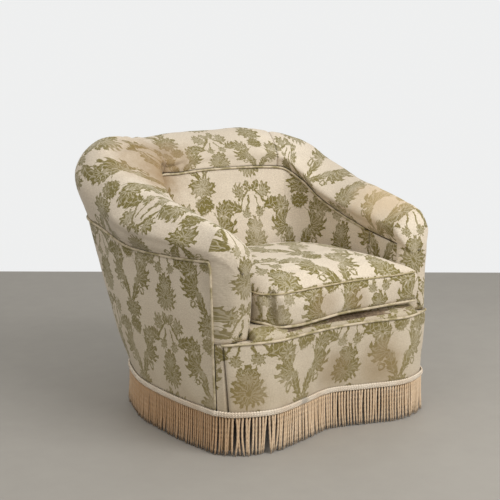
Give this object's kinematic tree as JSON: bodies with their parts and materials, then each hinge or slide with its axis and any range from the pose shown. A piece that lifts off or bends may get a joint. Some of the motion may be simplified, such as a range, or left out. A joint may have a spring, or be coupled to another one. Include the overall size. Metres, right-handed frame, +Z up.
{
  "type": "armchair",
  "caption": "Low tub armchair in worn foliage damask: rolled arms and back, loose box cushion, serpentine seat front, braid and bullion fringe down to the floor.",
  "frame": {"origin": "on the floor under the middle of the outer box", "axes": "+Z up, the chair faces -Y, x = 0 is its plane of symmetry"},
  "size_m": [0.822, 0.7855, 0.7144],
  "materials": {
    "damask": "worn olive foliage damask on a beige ground, faded and stained",
    "cushion_damask": "the same damask on the loose cushion, paler and more crumpled",
    "piping": "cords covered in the damask",
    "trim": "viscose braid and twisted bullion fringe, dusty",
    "frame_wood": "plain sawn beech",
    "jute": "jute webbing and hessian",
    "stuffing": "curled hair and fibre stuffing",
    "spring_steel": "dull coppered spring wire",
    "lining": "thin black dust cover"
  },
  "bodies": {
    "root": {"back_hessian": "jute", "back_left_leg": "frame_wood", "back_right_leg": "frame_wood", "back_roll_cover": "damask", "back_roll_stuffing": "stuffing", "back_seat_rail": "frame_wood", "border_piping": "piping", "braid": "trim", "collar_piping": "piping", "deck_cover": "damask", "deck_pad": "stuffing", "dust_cover": "lining", "fringe": "trim", "front_left_leg": "frame_wood", "front_right_leg": "frame_wood", "front_seat_rail": "frame_wood", "inside_back": "damask", "left_arm_front": "damask", "left_arm_rail": "frame_wood", "left_arm_roll_cover": "damask", "left_arm_roll_stuffing": "stuffing", "left_back_post": "frame_wood", "left_front_post": "frame_wood", "left_front_strip": "damask", "left_inside_arm": "damask", "left_outside_arm": "damask", "left_seat_rail": "frame_wood", "outer_piping": "piping", "outside_back": "damask", "right_arm_front": "damask", "right_arm_rail": "frame_wood", "right_arm_roll_cover": "damask", "right_arm_roll_stuffing": "stuffing", "right_back_post": "frame_wood", "right_front_post": "frame_wood", "right_front_strip": "damask", "right_inside_arm": "damask", "right_outside_arm": "damask", "right_seat_rail": "frame_wood", "seat_border": "damask", "seat_cushion": "cushion_damask", "seat_strap_cross_1": "jute", "seat_strap_cross_2": "jute", "seat_strap_cross_3": "jute", "seat_strap_long_1": "jute", "seat_strap_long_2": "jute", "seat_strap_long_3": "jute", "spring_1": "spring_steel", "spring_2": "spring_steel", "spring_3": "spring_steel", "spring_4": "spring_steel", "spring_5": "spring_steel", "spring_6": "spring_steel", "spring_7": "spring_steel", "spring_8": "spring_steel", "spring_9": "spring_steel", "spring_hessian": "jute", "top_back_rail": "frame_wood"}
  },
  "joints": []
}
